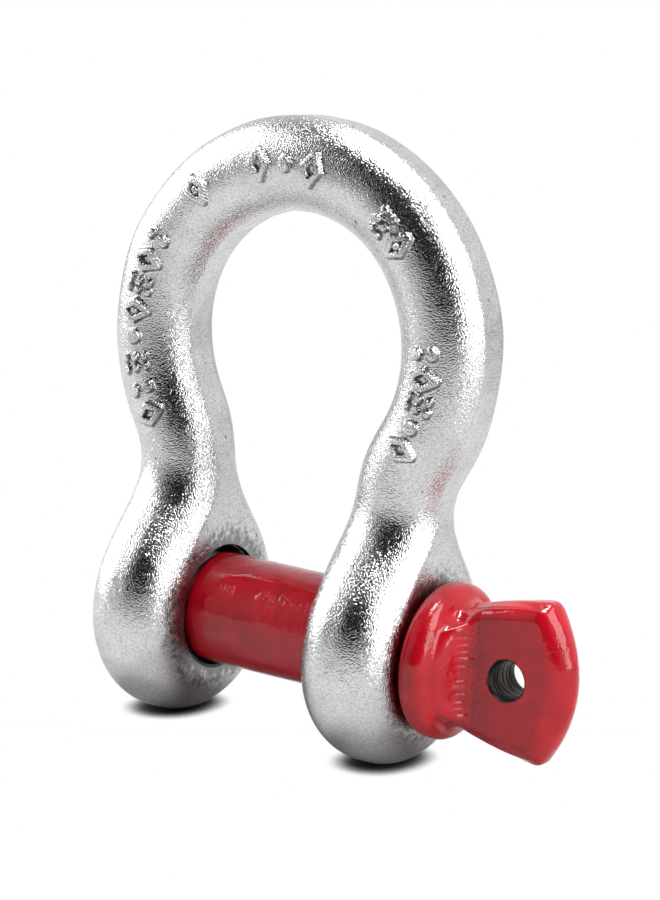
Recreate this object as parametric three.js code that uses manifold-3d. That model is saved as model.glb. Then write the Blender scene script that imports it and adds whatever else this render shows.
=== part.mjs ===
// Screw-pin bow shackle for 16 mm bar: a forged bow with an eye at each end, closed by a pin
// that passes through the plain eye and screws into the threaded one.
// Millimetres. The origin is on the pin's axis, midway between the eyes. +X runs along the pin
// towards its head, and +Z runs from the pin up to the crown of the bow.

import * as THREE from "three";
import { mergeVertices } from "three/addons/utils/BufferGeometryUtils.js";
import Module from "manifold-3d";

const wasm = await Module();
wasm.setup();

const radians = THREE.MathUtils.degToRad;

// The bow
const BAR_RADIUS = 8.1;
const JAW_WIDTH = 26.6; // clear width between the eyes
const EYE_THICKNESS = 16.8;
const EYE_RADIUS = 19.2;
const EYE_RIM_RADIUS = 7.7; // how far the eye's rim is rounded
const NECK_BLEND = 7.7; // reach of the forged fillet between eye and bar
const BEND_RADIUS = 29.1; // centreline of the round part
const BEND_HEIGHT = 48.1; // centre of the round part above the pin's axis
const BEND_OVERRUN = radians(27); // how far the round part goes on below its widest point
const LEG_TOP = 13.7; // end of the straight stretch above each eye
const LOWER_PULL = 0.7; // shape of the curve from the straight leg to the round part
const UPPER_PULL = 0.26;

// The pin
const PIN_RADIUS = 9.5;
const PLAIN_HOLE_RADIUS = 10.3;
const PIN_TIP = 33; // distance of the threaded tip from the origin
const TIP_CHAMFER = 1.6;
const GAP = 0.3; // clearance kept between neighbouring solids

// The thread, right-handed
const PITCH = 2.5;
const CREST_RADIUS = 9.4;
const ROOT_RADIUS = 8.1;
const THREAD_CLEARANCE = 0.3; // radial, between the pin's thread and the eye's
const MOUTH_RADIUS = 11.2; // countersink at both ends of the threaded hole
const STEPS_PER_TURN = 20;

// The pin's head
const COLLAR_RADIUS = 12.9;
const COLLAR_THICKNESS = 5.1;
const COLLAR_RIM_RADIUS = 2.2;
const NECK_RADIUS = 10.3;
const SHOULDER_END = 40.8; // where the tapered shoulder has sunk into the tab
const TAB_ROOT_HALF_WIDTH = 11;
const TAB_END_HALF_WIDTH = 13.8;
const TAB_THICKNESS = 7.8;
const TAB_EDGE_RADIUS = 2.4;
const TAB_CORNER = 51.6; // where the tab's sides end
const TAB_END = 56.6;
const TAB_HOLE_RADIUS = 3.25;
const TAB_HOLE_X = 45.9;

const EYE_CENTRE = (JAW_WIDTH + EYE_THICKNESS) / 2;
const EYE_OUTER_FACE = JAW_WIDTH / 2 + EYE_THICKNESS;
const COLLAR_BACK = EYE_OUTER_FACE + GAP;

const ROUND_SIDES = 40;

// ---- Solids ----

/** A closed geometry as a solid that can be joined and cut. */
function solidOf(geometry) {
  const bare = geometry.index ? geometry.toNonIndexed() : geometry.clone();
  bare.deleteAttribute("normal");
  bare.deleteAttribute("uv");
  const merged = mergeVertices(bare, 1e-4);
  const mesh = new wasm.Mesh({
    numProp: 3,
    vertProperties: new Float32Array(merged.attributes.position.array),
    triVerts: new Uint32Array(merged.index.array),
  });
  return new wasm.Manifold(mesh);
}

/** A solid as a geometry that a mesh can show. */
function geometryOf(solid) {
  const { vertProperties, triVerts } = solid.getMesh();
  const geometry = new THREE.BufferGeometry();
  geometry.setAttribute("position", new THREE.BufferAttribute(vertProperties, 3));
  geometry.setIndex(new THREE.BufferAttribute(triVerts, 1));
  geometry.computeVertexNormals();
  return geometry;
}

/**
 * A solid of revolution about X. The profile runs along +X and starts and ends on the axis.
 * The edges start a third of a side past the thread's own edges, so that none coincide.
 */
function turned(profile) {
  const points = profile.map(([x, radius]) => new THREE.Vector2(radius, x));
  const firstEdge = (2 * Math.PI) / ROUND_SIDES / 3;
  return solidOf(new THREE.LatheGeometry(points, ROUND_SIDES, firstEdge).rotateZ(-Math.PI / 2));
}

/** Points on an arc about (x, radius), between two angles measured from +X. */
function arc(x, radius, size, from, to, steps) {
  return Array.from({ length: steps + 1 }, (_, i) => {
    const angle = from + ((to - from) * i) / steps;
    return [x + size * Math.cos(angle), radius + size * Math.sin(angle)];
  });
}

/**
 * A closed skin over a row of rings with equally many points. Every ring runs right-handed
 * about the row's direction, and the first and last are closed by a fan about their middle.
 */
function skinned(rings) {
  const sides = rings[0].length;
  const positions = rings.flat().flatMap((point) => point.toArray());
  const index = [];
  for (let ring = 0; ring < rings.length - 1; ring++) {
    for (let side = 0; side < sides; side++) {
      const next = (side + 1) % sides;
      const [a, b] = [ring * sides + side, ring * sides + next];
      index.push(a, b, b + sides, a, b + sides, a + sides);
    }
  }
  const addCap = (ring, outward) => {
    const middle = new THREE.Vector3();
    rings[ring].forEach((point) => middle.addScaledVector(point, 1 / sides));
    const centre = positions.length / 3;
    positions.push(...middle.toArray());
    for (let side = 0; side < sides; side++) {
      const [a, b] = [ring * sides + side, ring * sides + ((side + 1) % sides)];
      index.push(centre, ...(outward ? [a, b] : [b, a]));
    }
  };
  addCap(0, false);
  addCap(rings.length - 1, true);
  const geometry = new THREE.BufferGeometry();
  geometry.setAttribute("position", new THREE.Float32BufferAttribute(positions, 3));
  geometry.setIndex(index);
  return geometry;
}

// ---- The bow ----

/** Half of the bar's centreline in the XZ plane, from the eye's lowest point to the crown. */
function legCentreline() {
  const start = -BEND_OVERRUN;
  const bend = new THREE.EllipseCurve(0, BEND_HEIGHT, BEND_RADIUS, BEND_RADIUS, start, Math.PI / 2);
  const bottom = new THREE.Vector2(EYE_CENTRE, -EYE_RADIUS);
  const legTop = new THREE.Vector2(EYE_CENTRE, LEG_TOP);
  const bendStart = bend.getPoint(0);
  const along = new THREE.Vector2(-Math.sin(start), Math.cos(start));
  const span = legTop.distanceTo(bendStart);
  const path = new THREE.CurvePath();
  path.add(new THREE.LineCurve(bottom, legTop));
  path.add(
    new THREE.CubicBezierCurve(
      legTop,
      new THREE.Vector2(EYE_CENTRE, LEG_TOP + LOWER_PULL * span),
      bendStart.clone().addScaledVector(along, -UPPER_PULL * span),
      bendStart,
    ),
  );
  path.add(bend);
  return path;
}

/** Signed distance to two shapes joined with a fillet that reaches as far as blend. */
function filleted(a, b, blend) {
  const share = THREE.MathUtils.clamp(0.5 + (b - a) / (2 * blend), 0, 1);
  return b * (1 - share) + a * share - blend * share * (1 - share);
}

/**
 * Distance outside the forging's skin, negative inside. The point is given by its place in
 * the frame and by its offset from the bar's centreline, in the bow's plane and square to it.
 */
function outsideForging(x, y, z, offset) {
  const bar = Math.hypot(offset, y, Math.min(z, 0)) - BAR_RADIUS;
  const past = Math.hypot(y, z) - (EYE_RADIUS - EYE_RIM_RADIUS);
  const beside = Math.abs(x - EYE_CENTRE) - (EYE_THICKNESS / 2 - EYE_RIM_RADIUS);
  const eye = Math.hypot(Math.max(past, 0), Math.max(beside, 0))
    + Math.min(Math.max(past, beside), 0) - EYE_RIM_RADIUS;
  return Math.max(filleted(bar, eye, NECK_BLEND), Math.abs(offset) - EYE_THICKNESS / 2);
}

/** The ring where the forging's skin meets the plane square to the centreline at a place. */
function forgingRing(place, along, sides) {
  const across = new THREE.Vector2(along.y, -along.x);
  return Array.from({ length: sides }, (_, side) => {
    const angle = (2 * Math.PI * side) / sides;
    const [cos, sin] = [Math.cos(angle), Math.sin(angle)];
    const at = (reach) => new THREE.Vector3(
      place.x + reach * cos * across.x,
      reach * sin,
      place.y + reach * cos * across.y,
    );
    let [inside, outside] = [0, 2 * EYE_RADIUS];
    while (outside - inside > 1e-4) {
      const reach = (inside + outside) / 2;
      const { x, y, z } = at(reach);
      if (outsideForging(x, y, z, reach * cos) > 0) outside = reach;
      else inside = reach;
    }
    return at(inside);
  });
}

/** The solid forging, without its holes: half of it from eye to crown, and its mirror image. */
function forging() {
  const sides = 24;
  const path = legCentreline();
  const length = path.getLength();
  const eyeSteps = 10;
  const barSteps = 30;
  const lowest = 0.004; // the first ring's height above the eye's lowest point, in eye radii
  const distances = [];
  for (let step = 0; step < eyeSteps; step++) {
    const rise = 1 - Math.cos((Math.PI / 2) * (step / eyeSteps));
    distances.push(EYE_RADIUS * Math.max(rise, lowest));
  }
  for (let step = 0; step <= barSteps; step++) {
    distances.push(EYE_RADIUS + ((length - EYE_RADIUS) * step) / barSteps);
  }
  const half = distances.map((distance) => {
    const t = distance / length;
    return forgingRing(path.getPointAt(t), path.getTangentAt(t), sides);
  });
  const mirror = (ring) => ring.map((point) => new THREE.Vector3(-point.x, point.y, point.z));
  const mirrored = half.slice(0, -1).reverse().map(mirror);
  return solidOf(skinned([...half, ...mirrored]));
}

/** The hole that the pin's shank passes through, in the eye beside the head. */
function plainHole() {
  const lead = 0.8; // chamfer at both mouths
  const [near, far] = [JAW_WIDTH / 2, EYE_OUTER_FACE];
  const wide = PLAIN_HOLE_RADIUS + lead;
  return turned([
    [near - lead, 0],
    [near - lead, wide + lead],
    [near + lead, PLAIN_HOLE_RADIUS],
    [far - lead, PLAIN_HOLE_RADIUS],
    [far + lead, wide + lead],
    [far + lead, 0],
  ]);
}

// ---- The thread ----

/**
 * A rod about X with a right-handed thread of trapezoid section, cut off a turn past each of
 * the given places. One strip winds round it. Its edges are the ridge's two feet and two tops,
 * and its last edge carries the flat between two ridges to the first edge of the next turn.
 */
function threadedRod(fromX, toX, footRadius, topRadius, footLength, topLength) {
  const turn = STEPS_PER_TURN;
  const firstStep = Math.floor((fromX / PITCH) * turn) - turn;
  const last = Math.ceil((toX / PITCH) * turn) + turn - firstStep;
  const edges = [
    [-footLength / 2, footRadius],
    [-topLength / 2, topRadius],
    [topLength / 2, topRadius],
    [footLength / 2, footRadius],
  ];
  const xOf = (step) => (PITCH * (firstStep + step)) / turn;
  const positions = [];
  for (let step = 0; step <= last; step++) {
    const angle = (2 * Math.PI * (firstStep + step)) / turn;
    for (const [offset, radius] of edges) {
      positions.push(xOf(step) + offset, radius * Math.cos(angle), radius * Math.sin(angle));
    }
  }
  const vertex = (step, edge) => edges.length * step + edge;
  const index = [];
  const addQuad = (a, b, c, d) => index.push(a, b, c, a, c, d);
  for (let step = 0; step < last; step++) {
    for (let edge = 0; edge < 3; edge++) {
      addQuad(
        vertex(step, edge), vertex(step + 1, edge), vertex(step + 1, edge + 1), vertex(step, edge + 1),
      );
    }
    if (step + turn < last) {
      addQuad(
        vertex(step, 3), vertex(step + 1, 3), vertex(step + turn + 1, 0), vertex(step + turn, 0),
      );
    }
  }
  const across = [0, 1, 2, 3];
  const round = Array.from({ length: turn }, (_, step) => step);
  const addEnd = (x, loop) => {
    const apex = positions.length / 3;
    positions.push(x, 0, 0);
    loop.forEach((from, i) => index.push(apex, from, loop[(i + 1) % loop.length]));
  };
  const lowLoop = across.map((edge) => vertex(0, edge));
  lowLoop.push(...round.map((step) => vertex(turn - step, 0)));
  const highLoop = across.map((edge) => vertex(last, edge));
  highLoop.push(...round.map((step) => vertex(last - 1 - step, 3)));
  addEnd(xOf(0) - PITCH, lowLoop);
  addEnd(xOf(last) + PITCH, highLoop.reverse());
  const geometry = new THREE.BufferGeometry();
  geometry.setAttribute("position", new THREE.Float32BufferAttribute(positions, 3));
  geometry.setIndex(index);
  return solidOf(geometry);
}

/** The pin's threaded end, trimmed by a blank with chamfered ends. */
function pinThread() {
  const [from, to] = [-PIN_TIP, -JAW_WIDTH / 2 - GAP];
  const rod = threadedRod(from, to, ROOT_RADIUS, CREST_RADIUS, 0.7 * PITCH, 0.2 * PITCH);
  const clear = 0.4; // the blank's own radius beyond the crests
  const blank = turned([
    [from, 0],
    [from, CREST_RADIUS - TIP_CHAMFER],
    [from + TIP_CHAMFER + clear, CREST_RADIUS + clear],
    [to - TIP_CHAMFER - clear, CREST_RADIUS + clear],
    [to, CREST_RADIUS - TIP_CHAMFER],
    [to, 0],
  ]);
  return rod.intersect(blank);
}

/** What the tap takes out of the threaded eye. */
function tappedHole() {
  return threadedRod(
    -EYE_OUTER_FACE, -JAW_WIDTH / 2,
    ROOT_RADIUS + THREAD_CLEARANCE, CREST_RADIUS + THREAD_CLEARANCE, 0.86 * PITCH, 0.34 * PITCH,
  );
}

/** The countersinks at both mouths of the threaded hole, as one double cone. */
function countersinks() {
  const middle = -EYE_CENTRE;
  const reach = EYE_THICKNESS / 2 + 1;
  const depth = MOUTH_RADIUS - ROOT_RADIUS;
  return turned([
    [middle - reach, 0],
    [middle - reach, MOUTH_RADIUS + 1],
    [middle - reach + 1 + depth, ROOT_RADIUS],
    [middle + reach - 1 - depth, ROOT_RADIUS],
    [middle + reach, MOUTH_RADIUS + 1],
    [middle + reach, 0],
  ]);
}

// ---- The pin's head ----

/** The collar, its neck and the shoulder that runs into the tab, with the shank's outer end. */
function collarAndNeck() {
  const rim = COLLAR_RADIUS - COLLAR_RIM_RADIUS;
  const middle = COLLAR_BACK + COLLAR_THICKNESS / 2;
  const neck = COLLAR_BACK + COLLAR_THICKNESS;
  return turned([
    [JAW_WIDTH / 2 + GAP, 0],
    [JAW_WIDTH / 2 + GAP, PIN_RADIUS],
    [COLLAR_BACK, PIN_RADIUS],
    [COLLAR_BACK, rim],
    ...arc(middle, rim, COLLAR_RIM_RADIUS, radians(150), radians(30), 6),
    [neck, NECK_RADIUS],
    [neck + 1, NECK_RADIUS],
    [SHOULDER_END, TAB_THICKNESS / 2 - 0.6],
    [SHOULDER_END, 0],
  ]);
}

/** The flat tab that a spike or a bar turns the pin by, with its cross hole. */
function tab() {
  const inset = TAB_EDGE_RADIUS;
  const start = COLLAR_BACK + 1 + inset;
  const outline = new THREE.Shape();
  const side = TAB_END_HALF_WIDTH - inset;
  const corner = TAB_CORNER - inset / 2;
  outline.moveTo(start, -TAB_ROOT_HALF_WIDTH + inset);
  outline.lineTo(corner, -side);
  outline.quadraticCurveTo(2 * (TAB_END - inset) - corner, 0, corner, side);
  outline.lineTo(start, TAB_ROOT_HALF_WIDTH - inset);
  outline.closePath();
  const plate = new THREE.ExtrudeGeometry(outline, {
    depth: TAB_THICKNESS - 2 * inset,
    curveSegments: 10,
    bevelThickness: inset,
    bevelSize: inset,
    bevelSegments: 3,
  });
  plate.translate(0, 0, inset - TAB_THICKNESS / 2).rotateX(Math.PI / 2);
  const drill = new THREE.CylinderGeometry(
    TAB_HOLE_RADIUS, TAB_HOLE_RADIUS, 2 * TAB_THICKNESS, 32,
  );
  drill.translate(TAB_HOLE_X, 0, 0);
  return solidOf(plate).subtract(solidOf(drill));
}

/** The plain shank between the eyes. */
function shank() {
  const half = JAW_WIDTH / 2;
  return turned([[-half, 0], [-half, PIN_RADIUS], [half, PIN_RADIUS], [half, 0]]);
}

// ---- The assembly ----

const zinc = new THREE.MeshStandardMaterial({ color: 0xc9cbce, roughness: 0.3, metalness: 1 });
const enamel = new THREE.MeshStandardMaterial({ color: 0xb5121f, roughness: 0.18, metalness: 0 });
const steel = new THREE.MeshStandardMaterial({ color: 0x7d7873, roughness: 0.4, metalness: 1 });

/** A named mesh of one solid. */
function part(name, solid, material) {
  const mesh = new THREE.Mesh(geometryOf(solid), material);
  mesh.name = name;
  return mesh;
}

const screwPin = new THREE.Group();
screwPin.add(
  part("pin_head", collarAndNeck().add(tab()), enamel),
  part("pin_shank", shank(), enamel),
  part("pin_thread", pinThread(), steel),
);

const shackle = new THREE.Group();
shackle.add(
  part("bow", forging().subtract(plainHole()).subtract(tappedHole()).subtract(countersinks()), zinc),
  screwPin,
);

export default shackle;
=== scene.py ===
"""A galvanised bow shackle with a red screw pin, standing on a pale floor.

Shapes are worked out in millimetres in the part's frame: +X along the pin towards its head, +Z up
from the pin to the crown of the bow. Meshes, lights and the camera are in metres.
"""

import math

import bpy
import numpy as np
from mathutils import Matrix, Vector


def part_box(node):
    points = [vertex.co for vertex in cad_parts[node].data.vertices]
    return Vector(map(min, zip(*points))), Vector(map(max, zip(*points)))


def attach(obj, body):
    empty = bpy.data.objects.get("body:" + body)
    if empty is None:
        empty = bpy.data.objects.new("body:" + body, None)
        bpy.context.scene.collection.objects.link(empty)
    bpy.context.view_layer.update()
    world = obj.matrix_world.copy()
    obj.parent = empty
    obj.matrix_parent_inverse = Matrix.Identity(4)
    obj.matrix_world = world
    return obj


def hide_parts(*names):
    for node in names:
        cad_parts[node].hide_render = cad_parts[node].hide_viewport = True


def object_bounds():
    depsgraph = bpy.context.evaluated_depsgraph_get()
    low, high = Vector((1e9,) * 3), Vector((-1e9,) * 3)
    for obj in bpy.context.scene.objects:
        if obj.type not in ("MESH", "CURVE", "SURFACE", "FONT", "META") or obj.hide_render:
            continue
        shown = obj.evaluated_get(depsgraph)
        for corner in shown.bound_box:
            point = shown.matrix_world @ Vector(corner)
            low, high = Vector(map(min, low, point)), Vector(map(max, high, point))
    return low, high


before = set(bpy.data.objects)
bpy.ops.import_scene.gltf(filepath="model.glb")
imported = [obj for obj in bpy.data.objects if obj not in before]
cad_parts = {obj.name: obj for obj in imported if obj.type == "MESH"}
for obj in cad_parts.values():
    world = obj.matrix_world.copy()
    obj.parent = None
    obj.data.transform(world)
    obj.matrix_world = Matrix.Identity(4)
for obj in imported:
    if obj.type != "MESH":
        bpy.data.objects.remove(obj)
cad_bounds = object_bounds()

MM = 0.001


def corners(node):
    """Lowest and highest corner of a CAD node, in millimetres."""
    return [np.array(corner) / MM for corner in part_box(node)]


# The bow
EYE_RADIUS = corners("bow")[1][1]
EYE_THICKNESS = 16.8
EYE_RIM_RADIUS = 7.7
JAW_HALF = corners("pin_shank")[1][0]
EYE_CENTRE = JAW_HALF + EYE_THICKNESS / 2
EYE_OUTER_FACE = JAW_HALF + EYE_THICKNESS
BAR_RADIUS = 8.1
NECK_BLEND = 7.7  # reach of the fillet between eye and bar
BEND_RADIUS = 29.1  # of the middle of the round part
BEND_HEIGHT = 48.1  # centre of the round part above the pin's axis
BEND_OVERRUN = math.radians(27)  # how far the round part goes on below its widest point
LEG_TOP = 13.7  # end of the straight stretch above each eye
LOWER_PULL = 0.7  # shape of the curve from the straight stretch to the round part
UPPER_PULL = 0.26
TRIM = 0.36  # depth of the flats where the flash was trimmed off, inside and outside the bow
TRIM_START = (16, 30)  # heights between which the flats begin on each leg
TRIM_RAGGEDNESS = 0.07

# The holes in the eyes
PLAIN_HOLE_RADIUS = 10.3
PLAIN_HOLE_LEAD = 0.8  # width of the chamfers at its ends
MOUTH_RADIUS = 10.5
MOUTH_RAISE = 0.4  # how far the countersinks of the threaded eye sit above the pin's axis
MOUTH_DEPTH = 1.2  # how far they go in before they narrow

# The pin
PIN_RADIUS = 9.5
PIN_TIP = -corners("pin_thread")[0][0]
PAINT_END = JAW_HALF + 1.2  # the paint stops just inside the threaded eye's countersink
TIP_CHAMFER = 1.6
PITCH = 2.5
CREST_RADIUS = 9.4
ROOT_RADIUS = 8.1
THREAD_CLEARANCE = 0.3
# Widths of the thread's ridge at the root and at the crest, on the pin and in the tapped hole.
RIDGE_FOOT, RIDGE_TOP = 0.7 * PITCH, 0.2 * PITCH
TAP_FOOT, TAP_TOP = 0.86 * PITCH, 0.34 * PITCH
SHANK_EDGE = 0.6  # chamfer where the paint stops
SHANK_SINK = 0.05  # how far the shank stays below its full radius, as room for its unevenness

# The pin's head
COLLAR_RADIUS = 12.9
COLLAR_BACK = EYE_OUTER_FACE + 0.3
COLLAR_THICKNESS = 5.1
COLLAR_RIM_RADIUS = 2.2
NECK_RADIUS = 10.3
NECK_CENTRE = 33.5
NECK_HALF_LENGTH = 3.3
NECK_RIM_RADIUS = 2.5
COLLAR_FILLET = 1.0  # reach of the fillet between collar and neck
SHOULDER = (34.9, 40.4)  # where the head thins from the neck's thickness to the tab's
SHOULDER_FILLET = 1.8  # reach of the fillet between neck and shoulder
# The round blank that the shoulder and the tab were forged from: its radius at places along X.
BLANK_X = (36, 40, 53)
BLANK_RADIUS = (10.3, 11.7, 15.5)
BLANK_BLEND = 2.2  # reach of the rounding where the tab leaves the blank
TAB_START = 36  # where the tab's edges begin
TAB_ROOT_HALF_WIDTH = 11
TAB_END_HALF_WIDTH = 13.8
TAB_THICKNESS = 7.8
TAB_EDGE_RADIUS = 0.7
EDGE_CROWN = 2.2  # how far the tab's top and bottom edges fall from their ridge to its faces
END_CROWN = 1.5  # the same for the tab's end, at its corners
END_MIDDLE_CROWN = 1.7  # how much more that is at the middle of the end
TAB_CORNER = 51.6  # where the tab's edges end
TAB_CORNER_RADIUS = 1.1
TAB_END = corners("pin_head")[1][0]
EDGE_BULGE = 0.35  # how far the tab's edges swell outward half-way along
BULGE_START = 38
END_LIP = 0.3  # how much the tab widens just before its corners
CROWN_LIMIT = 1.5  # where the crowns stop falling, outside the tab's faces
TAB_HOLE_RADIUS = 3.25
TAB_HOLE_ROUNDING = 0.3
TAB_HOLE_TAPER = 0.045  # how much the hole narrows, for each millimetre towards the back
TAB_HOLE_X = 45.9
# The crowned edges and the shoulder slope, and these bring their fields near to true distances.
EDGE_SLOPE_SCALE = 0.8
SHOULDER_SLOPE_SCALE = 0.7


# ---- Surfaces ----

def smooth_step(value, low, high):
    """0 below low, 1 above high, and a smooth rise between."""
    share = np.clip((value - low) / (high - low), 0, 1)
    return share * share * (3 - 2 * share)


def filleted(a, b, blend):
    """Signed distance to two shapes joined with a fillet that reaches as far as blend."""
    share = np.clip(0.5 + (b - a) / (2 * blend), 0, 1)
    return b * (1 - share) + a * share - blend * share * (1 - share)


def carved(a, b, blend):
    """Signed distance to what two shapes share, with the edge between them rounded."""
    return -filleted(-a, -b, blend)


def rounded_corner(a, b, radius):
    """Signed distance to what two shapes share, with the edge rounded to a radius."""
    a, b = a + radius, b + radius
    return np.hypot(np.maximum(a, 0), np.maximum(b, 0)) + np.minimum(np.maximum(a, b), 0) - radius


def make_object(name, points, faces):
    """A mesh object from points in millimetres."""
    mesh = bpy.data.meshes.new(name)
    mesh.from_pydata((points * MM).tolist(), [], faces)
    mesh.update()
    piece = bpy.data.objects.new(name, mesh)
    bpy.context.scene.collection.objects.link(piece)
    return piece


def smooth(piece, sharpest):
    """Smooth shading, apart from edges sharper than an angle in degrees."""
    piece.data.shade_smooth()
    piece.data.set_sharp_from_angle(angle=math.radians(sharpest))


def skinned(rings):
    """Points and faces of a closed skin over rings, an array of rings by sides by xyz."""
    count, sides = rings.shape[:2]
    ring, side = np.meshgrid(np.arange(count - 1), np.arange(sides), indexing="ij")
    here, beside = ring * sides + side, ring * sides + (side + 1) % sides
    faces = np.stack([here, beside, beside + sides, here + sides], axis=-1).reshape(-1, 4).tolist()
    loop = np.arange(sides)
    ahead = (loop + 1) % sides
    first, last = count * sides, count * sides + 1
    faces += [[first, int(b), int(a)] for a, b in zip(loop, ahead)]
    top = (count - 1) * sides
    faces += [[last, int(top + a), int(top + b)] for a, b in zip(loop, ahead)]
    ends = rings[[0, -1]].mean(axis=1)
    return np.vstack([rings.reshape(-1, 3), ends]), faces


def turned(places, radius_at, sides):
    """A closed skin about X, whose radius depends on the place along X and the angle."""
    angle = np.linspace(0, 2 * np.pi, sides, endpoint=False)
    x, turn = np.meshgrid(places, angle, indexing="ij")
    radius = radius_at(x, turn)
    return skinned(np.stack([x, radius * np.cos(turn), radius * np.sin(turn)], axis=-1))


def gradient(field, points):
    """The field's slope at each point."""
    step = 0.01
    slopes = []
    for axis in range(3):
        ahead, behind = points.copy(), points.copy()
        ahead[:, axis] += step
        behind[:, axis] -= step
        slopes.append((field(*ahead.T) - field(*behind.T)) / (2 * step))
    return np.stack(slopes, axis=-1)


def settled(field, points):
    """The points moved onto the surface where the field is 0."""
    rounds, gentlest = 5, 0.05
    for _ in range(rounds):
        slope = gradient(field, points)
        size = np.maximum((slope * slope).sum(axis=1), gentlest)
        points = points - slope * (field(*points.T) / size)[:, None]
    return points


def skin_of(field, low, high, cell):
    """
    Points and faces of the surface where the field is 0; it is negative inside. The space is
    cut into cells. Each cell that the surface crosses holds one point, and each cell edge
    that it crosses gives the face between the four cells around that edge.
    """
    axes = [np.arange(a, b + cell, cell) for a, b in zip(low, high)]
    shape = [len(axis) for axis in axes]
    value = field(*np.meshgrid(*axes, indexing="ij", sparse=True))
    value = np.broadcast_to(value, shape)
    crossings, owners, quads = [], [], []
    for axis in range(3):
        near, far = np.moveaxis(value, axis, 0)[:-1], np.moveaxis(value, axis, 0)[1:]
        found = np.argwhere((near < 0) != (far < 0))
        at = tuple(found.T)
        share = near[at] / (near[at] - far[at])
        leaving = near[at] < 0
        place = np.empty((len(found), 3))
        others = [k for k in range(3) if k != axis]
        place[:, axis] = found[:, 0]
        for k, other in enumerate(others):
            place[:, other] = found[:, k + 1]
        cells = []
        for back_b, back_c in ((1, 1), (0, 1), (0, 0), (1, 0)):
            beside = place.astype(int)
            beside[:, (axis + 1) % 3] -= back_b
            beside[:, (axis + 2) % 3] -= back_c
            cells.append(np.ravel_multi_index(beside.T, shape))
        place[:, axis] += share
        cells = np.stack(cells, axis=-1)
        crossings.append(np.repeat(place, 4, axis=0))
        owners.append(cells.ravel())
        quads.append(np.where(leaving[:, None], cells, cells[:, ::-1]))
    crossings, owners, quads = np.vstack(crossings), np.concatenate(owners), np.vstack(quads)
    used, owner = np.unique(owners, return_inverse=True)
    counts = np.bincount(owner)
    points = np.stack([np.bincount(owner, crossings[:, k]) / counts for k in range(3)], axis=-1)
    points = settled(field, points * cell + np.array(low))
    return points, np.searchsorted(used, quads).tolist()


# ---- The bow ----

def leg_path():
    """Closely spaced places (x, z) along a leg's middle, from the eye's bottom to the crown."""
    bend_places, curve_places, straight_places = 600, 400, 300
    angle = np.linspace(-BEND_OVERRUN, np.pi / 2, bend_places)[:, None]
    bend = np.hstack([BEND_RADIUS * np.cos(angle), BEND_HEIGHT + BEND_RADIUS * np.sin(angle)])
    along = np.array([math.sin(BEND_OVERRUN), math.cos(BEND_OVERRUN)])
    leg_top = np.array([EYE_CENTRE, LEG_TOP])
    span = np.linalg.norm(bend[0] - leg_top)
    pulls = [leg_top + [0, LOWER_PULL * span], bend[0] - along * UPPER_PULL * span]
    t = np.linspace(0, 1, curve_places)[:, None]
    curve = (1 - t) ** 3 * leg_top + 3 * (1 - t) ** 2 * t * pulls[0]
    curve = curve + 3 * (1 - t) * t * t * pulls[1] + t**3 * bend[0]
    height = np.linspace(-EYE_RADIUS, LEG_TOP, straight_places)[:, None]
    straight = np.hstack([np.full_like(height, EYE_CENTRE), height])
    return np.vstack([straight, curve[1:], bend[1:]])


def travelled(path):
    """Distance along a path at each of its places."""
    return np.concatenate([[0], np.cumsum(np.linalg.norm(np.diff(path, axis=0), axis=1))])


def outside_forging(x, y, z, offset):
    """Distance outside the forging. The offset is from the bar's middle, in the bow's plane."""
    bar = np.hypot(np.hypot(offset, y), np.minimum(z, 0)) - BAR_RADIUS
    past = np.hypot(y, z) - EYE_RADIUS
    beside = np.abs(x - EYE_CENTRE) - EYE_THICKNESS / 2
    eye = rounded_corner(past, beside, EYE_RIM_RADIUS)
    leg = smooth_step(z, *TRIM_START)
    trimmed = leg * (BAR_RADIUS - TRIM - EYE_THICKNESS / 2)
    ragged = leg * TRIM_RAGGEDNESS * np.sin(0.9 * x + 0.7 * y) * np.sin(1.1 * z - 0.6 * y)
    flats = np.abs(offset) - EYE_THICKNESS / 2 - trimmed + ragged
    return np.maximum(filleted(bar, eye, NECK_BLEND), flats)


MARK_SIDES = "mark_sides"  # the bow's attribute that is 1 on the marks' sides and 0 elsewhere
RELIEF = 0.8  # how far the marks stand out
MARK_HALF_HEIGHT = 2.35
MARK_HALF_WIDTH = 1.5
STROKE_SLOPE = 0.4  # width of a stroke's sloping sides
LOZENGE = [(0, -1), (1, 0), (0, 1), (-1, 0), (0, -1)]
# Raised marks on the bow's face: plain shapes that stand where such a shackle is marked. Each is
# the half width of its strokes in millimetres, and its strokes as lines between corners of a
# square from -1 to 1.
MARKS = {
    "lozenge": (0.42, [LOZENGE]),
    "studded lozenge": (0.42, [LOZENGE, [(0, -0.05), (0, 0.05)]]),
    "stud": (1.0, [[(0, -0.05), (0, 0.05)]]),
    "studs": (0.8, [[(-0.05, y), (0.05, y)] for y in (-0.6, 0.6)]),
    "dots": (0.42, [[(x - 0.06, y), (x + 0.06, y)] for x in (-0.6, 0.6) for y in (-0.8, 0, 0.8)]),
}
# Rows of marks: the first one's place from the crown, towards the head's side, the step
# between two, and the shapes.
MARK_ROWS = [
    (-62.0, 4.5, [
        "lozenge", "studs", "dots", "stud", "studded lozenge", "dots", "lozenge", "studs",
    ]),
    (-18.9, 1.0, ["studded lozenge"]),
    (-5.3, 5.3, ["lozenge", "stud", "lozenge"]),
    (21.2, 4.6, ["dots", "studded lozenge"]),
    (43.6, 4.05, ["studs", "lozenge", "dots", "stud", "lozenge"]),
]


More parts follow.
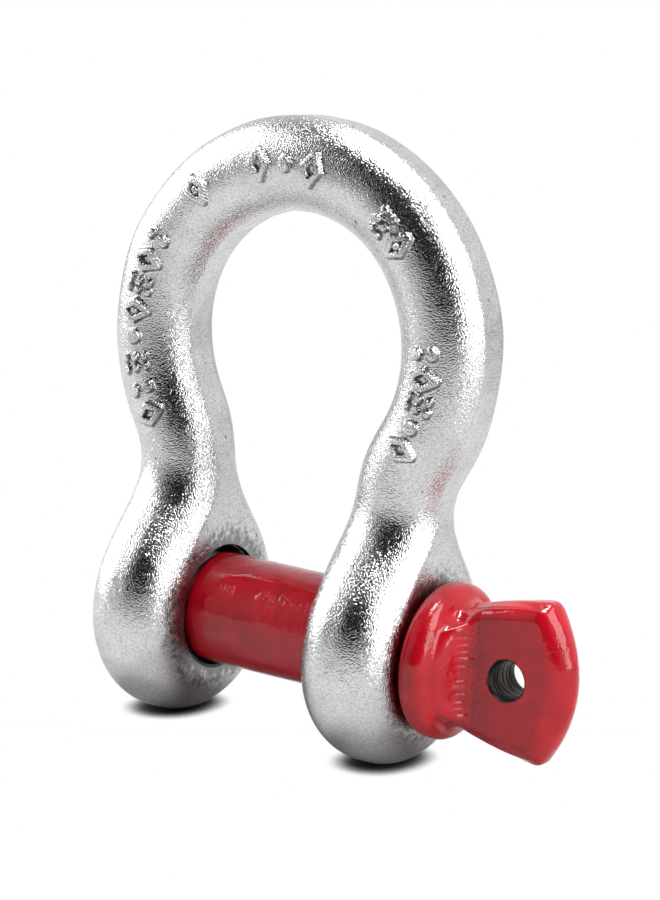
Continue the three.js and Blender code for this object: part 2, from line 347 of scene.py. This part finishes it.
def from_line(u, v, start, end):
    """Distance from each point (u, v) to a straight line between two points."""
    span = (end[0] - start[0], end[1] - start[1])
    share = ((u - start[0]) * span[0] + (v - start[1]) * span[1]) / (span[0] ** 2 + span[1] ** 2)
    share = np.clip(share, 0, 1)
    return np.hypot(u - start[0] - share * span[0], v - start[1] - share * span[1])


def mark_relief(along, around):
    """How far the marks stand out, by the distances from the crown and round the bar."""
    outside = np.full(np.broadcast(along, around).shape, np.inf)
    for first, step, shapes in MARK_ROWS:
        for number, shape in enumerate(shapes):
            u = along - (first + step * number)
            half_width, strokes = MARKS[shape]
            for stroke in strokes:
                stroke = [(a * MARK_HALF_WIDTH, b * MARK_HALF_HEIGHT) for a, b in stroke]
                for start, end in zip(stroke, stroke[1:]):
                    beside = from_line(u, around, start, end) - half_width
                    outside = np.minimum(outside, beside)
    return RELIEF * (1 - smooth_step(outside, 0, STROKE_SLOPE))


def unevenness(points, size, depth, seed):
    """Soft random swells of about one size, as left by hammer and dies."""
    draw = np.random.default_rng(seed)
    waves = 14
    directions = draw.normal(size=(waves, 3))
    directions /= np.linalg.norm(directions, axis=1)[:, None]
    lengths = size * draw.uniform(0.7, 1.6, waves)
    phases = draw.uniform(0, 2 * np.pi, waves)
    total = sum(
        np.sin(points @ direction * (2 * np.pi / length) + phase)
        for direction, length, phase in zip(directions, lengths, phases)
    )
    return depth * total / math.sqrt(waves)


def ring_places(leg_length):
    """Distances along a leg of its rings, which lie closest where the marks are."""
    eye_rings = 40
    marked_from = 29  # distance along the leg where the marks begin
    eye_spacing, marked_spacing = 0.5, 0.27
    turn = np.linspace(0.05, 1, eye_rings) * np.pi / 2
    eye_places = EYE_RADIUS * (1 - np.cos(turn))
    marked_rings = int((leg_length - marked_from) / marked_spacing)
    return np.concatenate([
        eye_places[:-1], np.arange(EYE_RADIUS, marked_from - eye_spacing / 2, eye_spacing),
        np.linspace(marked_from, leg_length, marked_rings),
    ])


def reach_of_surface(at, cos, shape):
    """How far the forging's surface is from the bar's middle in each direction, by halving."""
    halvings = 24
    inside = np.zeros(shape)
    outside = np.full_like(inside, 2 * EYE_RADIUS)
    for _ in range(halvings):
        reach = (inside + outside) / 2
        out = outside_forging(*at(reach), reach * cos) > 0
        outside = np.where(out, reach, outside)
        inside = np.where(out, inside, reach)
    return inside


def forging_rings():
    """
    Rings of the solid forging, without its holes, from one eye's bottom to the other's, and how
    steep each point's place on the side of a mark is.
    """
    sides = 144
    crowding = 0.4  # how much closer the points lie on the marked face
    path = leg_path()
    reached = travelled(path)
    places = ring_places(reached[-1])
    slope = np.gradient(path, axis=0)
    slope /= np.linalg.norm(slope, axis=1)[:, None]
    place = np.stack([np.interp(places, reached, path[:, k]) for k in (0, 1)], axis=-1)
    along = np.stack([np.interp(places, reached, slope[:, k]) for k in (0, 1)], axis=-1)
    along /= np.linalg.norm(along, axis=1)[:, None]
    side = np.linspace(0, 2 * np.pi, sides, endpoint=False)
    angle = side - crowding * np.cos(side)
    cos, sin = np.cos(angle), np.sin(angle)
    across = np.stack([along[:, 1], -along[:, 0]], axis=-1)

    def at(reach):
        x = place[:, :1] + reach * cos * across[:, :1]
        z = place[:, 1:] + reach * cos * across[:, 1:]
        return x, reach * sin, z

    surface = reach_of_surface(at, cos, (len(places), sides))
    from_crown = (reached[-1] - places)[:, None]
    from_marked_side = (angle + np.pi / 2 + np.pi) % (2 * np.pi) - np.pi
    around = BAR_RADIUS * from_marked_side[None, :]
    halves, risen = [], []
    for sign in (1, -1):
        relief = mark_relief(sign * from_crown, around)
        points = np.stack(at(surface + relief), axis=-1)
        points[..., 0] *= sign
        halves.append(points)
        risen.append(relief / RELIEF)
    rings = np.concatenate([halves[0], halves[1][::-1][1:]])
    risen = np.concatenate([risen[0], risen[1][::-1][1:]])
    middle = np.concatenate([place, (place * [-1, 1])[::-1][1:]])
    outward = rings - np.stack([middle[:, 0], 0 * middle[:, 0], middle[:, 1]], axis=-1)[:, None, :]
    outward /= np.linalg.norm(outward, axis=-1)[..., None]
    rings = rings + outward * unevenness(rings, size=16, depth=0.06, seed=4)[..., None]
    steepness = (4 * risen * (1 - risen)) ** 0.4
    return rings, steepness


def plain_hole():
    """What the pin's clearance hole takes out of the eye beside the head."""
    near, far, lead = JAW_HALF, EYE_OUTER_FACE, PLAIN_HOLE_LEAD
    wide = PLAIN_HOLE_RADIUS + 2 * lead
    stops = [near - lead, near + lead, far - lead, far + lead]
    radii = [wide, PLAIN_HOLE_RADIUS, PLAIN_HOLE_RADIUS, wide]
    return turned(np.array(stops), lambda x, turn: np.interp(x, stops, radii), sides=160)


def thread_radius(x, turn, root, crest, foot, top):
    """
    Radius of a right-handed thread of trapezoid section. Foot and top are the widths of its ridge
    at the root and at the crest.
    """
    from_ridge = np.abs((x / PITCH - turn / (2 * np.pi) + 0.5) % 1 - 0.5) * PITCH
    return np.interp(from_ridge, [top / 2, foot / 2], [crest, root])


def tapped_hole():
    """What the tap and the countersinks take out of the threaded eye."""
    near, far = -EYE_OUTER_FACE, -JAW_HALF

    def radius(x, turn):
        from_mouth = np.minimum(x - near, far - x)
        tap = thread_radius(
            x, turn, ROOT_RADIUS + THREAD_CLEARANCE, CREST_RADIUS + THREAD_CLEARANCE,
            TAP_FOOT, TAP_TOP,
        )
        mouth = MOUTH_RADIUS + MOUTH_RAISE * np.sin(turn)
        return np.maximum(tap, mouth - np.maximum(from_mouth - MOUTH_DEPTH, 0))

    return turned(np.arange(near - 1, far + 1.01, 0.11), radius, sides=120)


def cut(piece, tools):
    """Takes other objects out of a piece, and removes them."""
    for tool in tools:
        modifier = piece.modifiers.new(tool.name, "BOOLEAN")
        modifier.operation = "DIFFERENCE"
        modifier.solver = "MANIFOLD"
        modifier.object = tool
    bpy.context.view_layer.update()
    result = piece.evaluated_get(bpy.context.evaluated_depsgraph_get())
    mesh = bpy.data.meshes.new_from_object(result)
    piece.modifiers.clear()
    piece.data = mesh
    for tool in tools:
        bpy.data.objects.remove(tool)


def make_bow():
    """The forging with its two holes, and an attribute that tells the marks' sides."""
    rings, steepness = forging_rings()
    bow = make_object("bow_forging", *skinned(rings))
    mark_sides = bow.data.attributes.new(MARK_SIDES, "FLOAT", "POINT")
    mark_sides.data.foreach_set("value", np.append(steepness.ravel(), [0, 0]))
    cut(bow, [
        make_object("plain_hole", *plain_hole()),
        make_object("tapped_hole", *tapped_hole()),
    ])
    smooth(bow, 32)
    return bow


# ---- The screw pin ----

def half_thickness(x):
    """Half of the head's thickness: the neck's, falling along the shoulder to the tab's."""
    fall = smooth_step(x, *SHOULDER)
    return TAB_THICKNESS / 2 + (NECK_RADIUS - TAB_THICKNESS / 2) * (1 - fall)


def shoulder_wrinkles(x, z):
    """Short folds along the pin at the foot of the shoulder, where the forging was drawn flat."""
    spread_over, spacing = 6.6, 1.15
    half_width, fade = 0.26, 0.9
    draw = np.random.default_rng(8)
    total = 0
    for height in np.arange(-spread_over, spread_over, spacing):
        height = height + draw.uniform(-0.25, 0.25)
        start, length, lean = draw.uniform([37.0, 1.2, -0.08], [37.8, 2.0, 0.08])
        deep = draw.uniform(0.1, 0.17)
        across = (z - height - lean * (x - start)) / half_width
        end = start + length
        reach = smooth_step(x, start, start + fade) * (1 - smooth_step(x, end - 0.2, end + fade))
        total = total + deep * np.exp(-across * across) * reach
    return total


def drawn_creases(x, y):
    """Long shallow creases along the tab's top and bottom edges, left by drawing it out."""
    depth = 0.1
    fade_in = smooth_step(x, TAB_START, TAB_START + 3)
    return depth * fade_in * np.sin(2.7 * y + 0.14 * x + 0.7 * np.sin(0.4 * x))


def outside_tab_outline(x, y, z):
    """
    Distance outside the tab as seen from its face. Its edges and its end are crowned: they fall
    from a ridge midway through the thickness to the faces.
    """
    crowned = np.minimum((y / (TAB_THICKNESS / 2)) ** 2, CROWN_LIMIT)
    along = np.clip((x - BULGE_START) / (TAB_CORNER - BULGE_START), 0, 1)
    straight = [TAB_ROOT_HALF_WIDTH, TAB_END_HALF_WIDTH - END_LIP]
    width = np.interp(x, [TAB_START, TAB_CORNER], straight)
    width = width + EDGE_BULGE * np.sin(np.pi * along)
    lip_start, lip_end = TAB_CORNER - 1.1, TAB_CORNER + 0.9
    width = width + END_LIP * smooth_step(x, lip_start, lip_end)
    edges = np.abs(z) - width + EDGE_CROWN * crowned + drawn_creases(x, y)
    bulge = (TAB_END - TAB_CORNER) / TAB_END_HALF_WIDTH**2
    end = (x - TAB_END + bulge * z * z) / np.sqrt(1 + (2 * bulge * z) ** 2)
    end_crown = END_CROWN + END_MIDDLE_CROWN * (1 - (z / TAB_END_HALF_WIDTH) ** 2)
    end = end + end_crown * crowned
    outline = rounded_corner(edges * EDGE_SLOPE_SCALE, end, TAB_CORNER_RADIUS)
    return np.maximum(outline, TAB_START - 1 - x)


def outside_head(x, y, z):
    """Distance outside the pin's head: collar, neck, shoulder and tab."""
    radial = np.hypot(y, z)
    collar_middle = COLLAR_BACK + COLLAR_THICKNESS / 2
    collar = rounded_corner(
        radial - COLLAR_RADIUS, np.abs(x - collar_middle) - COLLAR_THICKNESS / 2, COLLAR_RIM_RADIUS,
    )
    neck = rounded_corner(
        radial - NECK_RADIUS, np.abs(x - NECK_CENTRE) - NECK_HALF_LENGTH, NECK_RIM_RADIUS,
    )
    outline = outside_tab_outline(x, y, z)
    flats = (np.abs(y) - half_thickness(x)) * SHOULDER_SLOPE_SCALE + shoulder_wrinkles(x, z)
    tab = rounded_corner(outline, flats, TAB_EDGE_RADIUS)
    tab = carved(tab, radial - np.interp(x, BLANK_X, BLANK_RADIUS), BLANK_BLEND)
    hole_radius = TAB_HOLE_RADIUS - TAB_HOLE_TAPER * (y + TAB_THICKNESS / 2)
    tab = carved(tab, hole_radius - np.hypot(x - TAB_HOLE_X, z), TAB_HOLE_ROUNDING)
    return filleted(filleted(collar, neck, COLLAR_FILLET), tab, SHOULDER_FILLET)


def make_head():
    """The collar, the neck, the shoulder and the tab, as one skin."""
    reach = TAB_END_HALF_WIDTH + 1
    low, high = [COLLAR_BACK - 1, -reach, -reach], [TAB_END + 1, reach, reach]
    head = make_object("head_forging", *skin_of(outside_head, low, high, cell=0.24))
    smooth(head, 50)
    return head


def make_shank():
    """The painted shank, from the end of the paint to inside the collar."""
    near, far = -PAINT_END, COLLAR_BACK + COLLAR_THICKNESS / 2

    def radius(x, turn):
        points = np.stack([x, PIN_RADIUS * np.cos(turn), PIN_RADIUS * np.sin(turn)], axis=-1)
        uneven = unevenness(points, size=9, depth=0.03, seed=6)
        chamfer = PIN_RADIUS - SHANK_EDGE + (x - near)
        return np.minimum(PIN_RADIUS - SHANK_SINK + uneven, chamfer)

    shank = make_object("shank_forging", *turned(np.arange(near, far, 0.5), radius, sides=160))
    smooth(shank, 40)
    return shank


def make_thread():
    """The threaded end, trimmed by a blank with chamfered ends."""
    near, far = -PIN_TIP, -PAINT_END

    def radius(x, turn):
        tip = CREST_RADIUS - TIP_CHAMFER + (x - near)
        run_out = CREST_RADIUS - TIP_CHAMFER + (far - x)
        blank = np.minimum(np.minimum(tip, run_out), CREST_RADIUS)
        thread = thread_radius(x, turn, ROOT_RADIUS, CREST_RADIUS, RIDGE_FOOT, RIDGE_TOP)
        return np.minimum(thread, blank)

    places = np.arange(near, far + 0.05, 0.1)
    thread = make_object("thread", *turned(places, radius, sides=128))
    smooth(thread, 40)
    return thread


# ---- Materials ----

def add(tree, kind, inputs=None, **settings):
    """A shader node with its settings, and inputs given as values or as sockets to link."""
    made = tree.nodes.new("ShaderNode" + kind)
    for name, value in settings.items():
        setattr(made, name, value)
    for name, value in (inputs or {}).items():
        if isinstance(value, bpy.types.NodeSocket):
            tree.links.new(value, made.inputs[name])
        else:
            made.inputs[name].default_value = value
    return made


def noise(tree, place, feature, detail=2.0, roughness=0.5):
    """A random pattern from 0 to 1, whose features are about one size in millimetres."""
    made = add(tree, "TexNoise", {
        "Vector": place, "Scale": 1 / (feature * MM), "Detail": detail, "Roughness": roughness,
    })
    return made.outputs[0]


def spread(tree, value, low, high):
    """A pattern stretched so that 0.3 gives low and 0.7 gives high."""
    made = add(tree, "MapRange", {
        "Value": value, "From Min": 0.3, "From Max": 0.7, "To Min": low, "To Max": high,
    })
    return made.outputs[0]


def bump(tree, height, depth, under=None):
    """A bumped normal, with the pattern's full depth in millimetres, on top of another."""
    inputs = {"Height": height, "Distance": depth * MM, "Strength": 1.0}
    if under is not None:
        inputs["Normal"] = under
    return add(tree, "Bump", inputs).outputs["Normal"]


def new_material(name, settings):
    """A material with one Principled shader, the mesh's own coordinates, and its tree."""
    material = bpy.data.materials.new(name)
    material.use_nodes = True
    tree = material.node_tree
    shader = tree.nodes["Principled BSDF"]
    for key, value in settings.items():
        shader.inputs[key].default_value = value
    place = add(tree, "TexCoord").outputs["Object"]
    return material, tree, shader, place


def mixed_colour(tree, share, first, second):
    """A colour from the first to the second as the share goes from 0 to 1."""
    first, second = [
        colour if isinstance(colour, bpy.types.NodeSocket) else (*colour, 1)
        for colour in (first, second)
    ]
    return add(tree, "MixRGB", {"Fac": share, "Color1": first, "Color2": second}).outputs[0]


def ramp(tree, value, start, end, soft=False):
    """0 up to the start, 1 from the end on, and a rise between; the end may be the lower one."""
    made = add(tree, "MapRange", {"Value": value, "From Min": start, "From Max": end})
    if soft:
        made.interpolation_type = "SMOOTHSTEP"
    return made.outputs[0]


def between(tree, share, low, high):
    """A number that goes from low to high as the share goes from 0 to 1."""
    return add(tree, "MapRange", {"Value": share, "To Min": low, "To Max": high}).outputs[0]


def times(tree, a, b):
    """Two numbers multiplied."""
    return add(tree, "Math", {0: a, 1: b}, operation="MULTIPLY").outputs[0]


def greater(tree, a, b):
    """The greater of two numbers."""
    return add(tree, "Math", {0: a, 1: b}, operation="MAXIMUM").outputs[0]


def from_pin_axis(tree, axes):
    """Distance from the pin's axis, from the separate coordinates of a place."""
    flat = add(tree, "CombineXYZ", {1: axes.outputs[1], 2: axes.outputs[2]}).outputs[0]
    return add(tree, "VectorMath", {0: flat}, operation="LENGTH").outputs["Value"]


def zinc_material():
    """
    Bright grained zinc with a few pits, painted shade on the marks' sides, and painted shade in
    the holes and round their mouths.
    """
    dim_zinc, bright_zinc = (0.62, 0.623, 0.626), (0.72, 0.723, 0.726)
    speckle_grey, pit_and_side_shade_grey = (0.2, 0.2, 0.202), (0.06, 0.06, 0.06)
    # The near-black of the painted shade round the pin's mouths and inside the holes' bores.
    painted_shade_black = (0.03, 0.03, 0.032)
    speckle_strength, side_shade_strength, mouth_shade_strength = 0.42, 0.85, 0.65
    mouth_shade_start, mouth_shade_end, mouth_shade_raggedness = 11.5 * MM, 15.0 * MM, 2.2 * MM
    bore_shade_start, bore_shade_end = (PLAIN_HOLE_RADIUS + 0.3) * MM, (PLAIN_HOLE_RADIUS + 0.7) * MM
    material, tree, shader, place = new_material("zinc_plated_steel", {"Metallic": 1.0})
    axes = add(tree, "SeparateXYZ", {0: place})
    from_axis = from_pin_axis(tree, axes)
    clouds = spread(tree, noise(tree, place, 5, 3), 0, 1)
    shade = mixed_colour(tree, clouds, dim_zinc, bright_zinc)
    speckle = ramp(tree, noise(tree, place, 0.3, 1), 0.42, 0.68)
    shade = mixed_colour(tree, times(tree, speckle, speckle_strength), shade, speckle_grey)
    pits = ramp(tree, noise(tree, place, 1.3, 1), 0.77, 0.8)
    # Painted shade: the marks' sloping sides are darkened, with the same grey as the pits.
    sides = add(tree, "Attribute", attribute_name=MARK_SIDES).outputs["Fac"]
    pits_and_side_shade = greater(tree, times(tree, sides, side_shade_strength), pits)
    shade = mixed_colour(tree, pits_and_side_shade, shade, pit_and_side_shade_grey)
    # Painted shade: the zinc is darkened round the pin's mouths, where the gap lies in shade, and
    # inside the holes.
    ragged = spread(tree, noise(tree, place, 1.0, 4), -mouth_shade_raggedness, mouth_shade_raggedness)
    ragged = add(tree, "Math", {0: from_axis, 1: ragged}, operation="ADD").outputs[0]
    mouth_shade = ramp(tree, ragged, mouth_shade_end, mouth_shade_start, soft=True)
    bore_shade = ramp(tree, from_axis, bore_shade_end, bore_shade_start)
    dark = greater(tree, times(tree, mouth_shade, mouth_shade_strength), bore_shade)
    shade = mixed_colour(tree, dark, shade, painted_shade_black)
    tree.links.new(shade, shader.inputs["Base Color"])
    tree.links.new(spread(tree, noise(tree, place, 1.5, 3), 0.12, 0.2), shader.inputs["Roughness"])
    swell = bump(tree, noise(tree, place, 4, 1), 0.09)
    grain = bump(tree, noise(tree, place, 0.23, 0.3), 0.095, swell)
    tree.links.new(grain, shader.inputs["Normal"])
    return material


def enamel_material():
    """
    Glossy red enamel, thin and speckled beside the shoulder. The tab's drilled hole is left bare
    and shows the drill's marks; its bare steel is coloured nearly black, as painted shade in the
    hole.
    """
    dark_red, bright_red = (0.32, 0.002, 0.008), (0.47, 0.0035, 0.014)
    speck_brown = (0.09, 0.012, 0.014)
    # Bare steel of the tab's hole, coloured nearly black as painted shade, darkest in the drill's
    # grooves.
    groove_shade_brown, ridge_shade_brown = (0.006, 0.005, 0.004), (0.11, 0.09, 0.08)
    bare_start, bare_end = (TAB_HOLE_RADIUS + 0.15) * MM, (TAB_HOLE_RADIUS + 0.3) * MM
    thin_from, thin_fully, fading_from, thick_from = 38.4 * MM, 39.4 * MM, 40 * MM, 46 * MM
    round_the_hole = (0.12, 1, 0.12)  # how much the drill's marks are squeezed along each axis
    material, tree, shader, place = new_material("red_enamel", {
        "Specular IOR Level": 0.04, "Coat Roughness": 0.05, "Coat IOR": 1.44,
    })
    axes = add(tree, "SeparateXYZ", {0: place})
    from_hole = add(tree, "VectorMath", {
        0: add(tree, "CombineXYZ", {0: axes.outputs[0], 2: axes.outputs[2]}).outputs[0],
        1: (TAB_HOLE_X * MM, 0, 0),
    }, operation="DISTANCE").outputs["Value"]
    chips = spread(tree, noise(tree, place, 0.7, 3), -0.2 * MM, 0.2 * MM)
    rim = add(tree, "Math", {0: from_hole, 1: chips}, operation="SUBTRACT").outputs[0]
    bare = ramp(tree, rim, bare_end, bare_start)
    clouds = spread(tree, noise(tree, place, 4, 4), 0, 1)
    red = mixed_colour(tree, clouds, dark_red, bright_red)
    thin = times(
        tree, ramp(tree, axes.outputs[0], thick_from, fading_from, soft=True),
        ramp(tree, axes.outputs[0], thin_from, thin_fully),
    )
    specks = times(tree, ramp(tree, noise(tree, place, 0.32, 2), 0.5, 0.64), thin)
    red = mixed_colour(tree, specks, red, speck_brown)
    turns = add(tree, "VectorMath", {0: place, 1: round_the_hole}, operation="MULTIPLY").outputs[0]
    rings = ramp(tree, noise(tree, turns, 0.5, 2), 0.46, 0.66)
    # Painted shade: the drilled wall is nearly black, with the real drill marks as lighter rings.
    drilled = mixed_colour(tree, rings, groove_shade_brown, ridge_shade_brown)
    colour = mixed_colour(tree, bare, red, drilled)
    tree.links.new(colour, shader.inputs["Base Color"])
    tree.links.new(bare, shader.inputs["Metallic"])
    tree.links.new(ramp(tree, bare, 1, 0), shader.inputs["Coat Weight"])
    rough = spread(tree, noise(tree, place, 1.5, 3), 0.34, 0.46)
    tree.links.new(rough, shader.inputs["Roughness"])
    peel = bump(tree, noise(tree, place, 2.2, 2), 0.08)
    patches = ramp(tree, noise(tree, place, 7, 1), 0.5, 0.6, soft=True)
    flecks = times(tree, noise(tree, place, 0.5, 2), patches)
    flecked = bump(tree, flecks, 0.08, peel)
    turned_marks = bump(tree, times(tree, rings, bare), 0.12, flecked)
    tree.links.new(turned_marks, shader.inputs["Coat Normal"])
    tree.links.new(turned_marks, shader.inputs["Normal"])
    return material


def steel_material():
    """Bare oiled steel, for the thread."""
    oily_brown, steel_grey = (0.20, 0.17, 0.15), (0.42, 0.40, 0.38)
    material, tree, shader, place = new_material("bare_steel", {"Metallic": 1.0})
    clouds = spread(tree, noise(tree, place, 1.5, 4), 0, 1)
    shade = mixed_colour(tree, clouds, oily_brown, steel_grey)
    tree.links.new(shade, shader.inputs["Base Color"])
    tree.links.new(spread(tree, noise(tree, place, 0.8, 3), 0.28, 0.5), shader.inputs["Roughness"])
    grain = bump(tree, noise(tree, place, 0.4, 2), 0.05)
    tree.links.new(grain, shader.inputs["Normal"])
    return material


def floor_material(centre):
    """
    A plain floor. The camera sees it glow white, apart from dark contact shadows where ambient
    occlusion finds the object close by. The object sees a matt mid-grey floor.
    """
    seen_grey, unseen_grey = (0.03, 0.03, 0.03), (0.5, 0.5, 0.5)
    shadows_fade, shadows_end = 0.06, 0.2  # distances from the object's centre
    contact_reach = 0.0042
    material, tree, shader, place = new_material("pale_floor", {
        "Roughness": 0.9, "Specular IOR Level": 0.2,
    })
    away = add(tree, "VectorMath", {0: place, 1: (centre.x, centre.y, 0)}, operation="DISTANCE")
    open_floor = ramp(tree, away.outputs["Value"], shadows_fade, shadows_end, soft=True)
    occlusion = add(tree, "AmbientOcclusion", {"Distance": contact_reach}, samples=16)
    unshaded = ramp(tree, occlusion.outputs["AO"], 0.2, 0.7, soft=True)
    seen = add(tree, "LightPath").outputs["Is Camera Ray"]
    glowing = times(tree, greater(tree, open_floor, unshaded), seen)
    shade = mixed_colour(tree, seen, unseen_grey, seen_grey)
    tree.links.new(shade, shader.inputs["Base Color"])
    glow = add(tree, "Emission", {"Strength": 1.0})
    mixed = add(tree, "MixShader", {0: glowing, 1: shader.outputs[0], 2: glow.outputs[0]})
    tree.links.new(mixed.outputs[0], tree.nodes["Material Output"].inputs["Surface"])
    return material


# ---- The stage ----

def toward(azimuth, elevation):
    """The direction at an azimuth, from -Y towards +X, and an elevation, both in degrees."""
    a, e = math.radians(azimuth), math.radians(elevation)
    return Vector((math.sin(a) * math.cos(e), -math.cos(a) * math.cos(e), math.sin(e)))


def make_floor(centre, height):
    """A wide square floor, 40 metres across, at a height in millimetres."""
    half = 20 / MM
    points = np.array([[-half, -half], [half, -half], [half, half], [-half, half]])
    points = np.hstack([points, np.full((4, 1), height)])
    floor = make_object("floor", points, [[0, 1, 2, 3]])
    floor.data.materials.append(floor_material(centre))


def make_softbox(name, centre, azimuth, elevation, distance, size, radiance):
    """A rectangular lamp that faces the object; angles in degrees, lengths in metres."""
    lamp = bpy.data.lights.new(name, "AREA")
    lamp.shape = "RECTANGLE"
    lamp.size, lamp.size_y = size
    lamp.energy = radiance * math.pi * size[0] * size[1]
    box = bpy.data.objects.new(name, lamp)
    out = toward(azimuth, elevation)
    box.location = centre + out * distance
    box.rotation_euler = out.to_track_quat("Z", "Y").to_euler()
    bpy.context.scene.collection.objects.link(box)


def window(tree, azimuth, elevation, sides, heights, soft):
    """1 in a window of directions, 0 outside it, with soft edges; all in degrees."""
    inside = None
    for angle, (low, high) in ((azimuth, sides), (elevation, heights)):
        for start, end in ((low - soft, low + soft), (high + soft, high - soft)):
            edge = ramp(tree, angle, start, end, soft=True)
            inside = edge if inside is None else times(tree, inside, edge)
    return inside


def make_world():
    """
    White to the camera. To the object it is a studio that is bright behind, dimmer from the sides,
    nearly dark in front, and dim in a patch of the ceiling.
    """
    world = bpy.data.worlds.new("studio")
    world.use_nodes = True
    tree = world.node_tree
    axes = add(tree, "SeparateXYZ", {0: add(tree, "TexCoord").outputs["Generated"]})
    ahead = add(tree, "Math", {0: axes.outputs[1], 1: -1.0}, operation="MULTIPLY").outputs[0]
    azimuth = add(tree, "Math", {0: axes.outputs[0], 1: ahead}, operation="ARCTAN2").outputs[0]
    elevation = add(tree, "Math", {0: axes.outputs[2]}, operation="ARCSINE").outputs[0]
    azimuth, elevation = [
        add(tree, "Math", {0: angle}, operation="DEGREES").outputs[0]
        for angle in (azimuth, elevation)
    ]
    sides = window(tree, azimuth, elevation, (-115, 115), (-200, 200), 20)
    front = window(tree, azimuth, elevation, (-30, 58), (-200, 62), 9)
    ceiling = window(tree, azimuth, elevation, (-120, 25), (40, 78), 12)
    light = times(tree, between(tree, sides, 0.95, 0.6), between(tree, front, 1.0, 0.03))
    light = times(tree, light, between(tree, ceiling, 1.0, 0.35))
    seen = add(tree, "LightPath").outputs["Is Camera Ray"]
    room = add(tree, "Background", {"Color": (1, 1, 1, 1), "Strength": light})
    white = add(tree, "Background", {"Color": (1, 1, 1, 1), "Strength": 1.0})
    mixed = add(tree, "MixShader", {0: seen, 1: room.outputs[0], 2: white.outputs[0]})
    tree.links.new(mixed.outputs[0], tree.nodes["World Output"].inputs["Surface"])
    bpy.context.scene.world = world


def make_camera(centre):
    """A camera at the photograph's angle, aimed a little beside the object's centre."""
    azimuth, elevation, roll = 34.1, 10.4, 3.84
    distance, aim_right, aim_up = 0.4349, -0.00236, -0.00221
    back = toward(azimuth, elevation)
    right = Vector((math.cos(math.radians(azimuth)), math.sin(math.radians(azimuth)), 0))
    up = back.cross(right)
    turn = Matrix.Rotation(math.radians(roll), 3, "Z")
    facing = Matrix((right, up, back)).transposed() @ turn
    camera = bpy.data.objects.new("camera", bpy.data.cameras.new("camera"))
    camera.data.sensor_fit = "VERTICAL"
    camera.data.sensor_height = 24
    camera.data.lens = 70.56
    camera.data.clip_end = 50
    place = centre + right * aim_right + up * aim_up + back * distance
    camera.matrix_world = Matrix.Translation(place) @ facing.to_4x4()
    bpy.context.scene.collection.objects.link(camera)
    bpy.context.scene.camera = camera


def light_stage():
    """The floor, the world, the softboxes and the camera."""
    low, high = cad_bounds
    centre = (low + high) / 2
    make_floor(centre, low.z / MM)
    make_world()
    make_softbox("left_softbox", centre, -82, 22, 0.8, (0.6, 0.6), 4.5)
    make_softbox("right_softbox", centre, 86, 30, 0.9, (0.45, 1.1), 5.4)
    make_softbox("top_softbox", centre, 0, 89, 0.9, (0.3, 0.3), 29.0)
    make_camera(centre)
    bpy.context.scene.view_settings.view_transform = "Standard"


# ---- The object ----

zinc, enamel, steel = zinc_material(), enamel_material(), steel_material()

bow = make_bow()
bow.data.materials.clear()
bow.data.materials.append(zinc)
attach(bow, "bow")
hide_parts("bow")

head = make_head()
head.data.materials.append(enamel)
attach(head, "pin")
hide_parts("pin_head")

shank = make_shank()
shank.data.materials.append(enamel)
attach(shank, "pin")
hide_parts("pin_shank")

thread = make_thread()
thread.data.materials.append(steel)
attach(thread, "pin")
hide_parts("pin_thread")

light_stage()
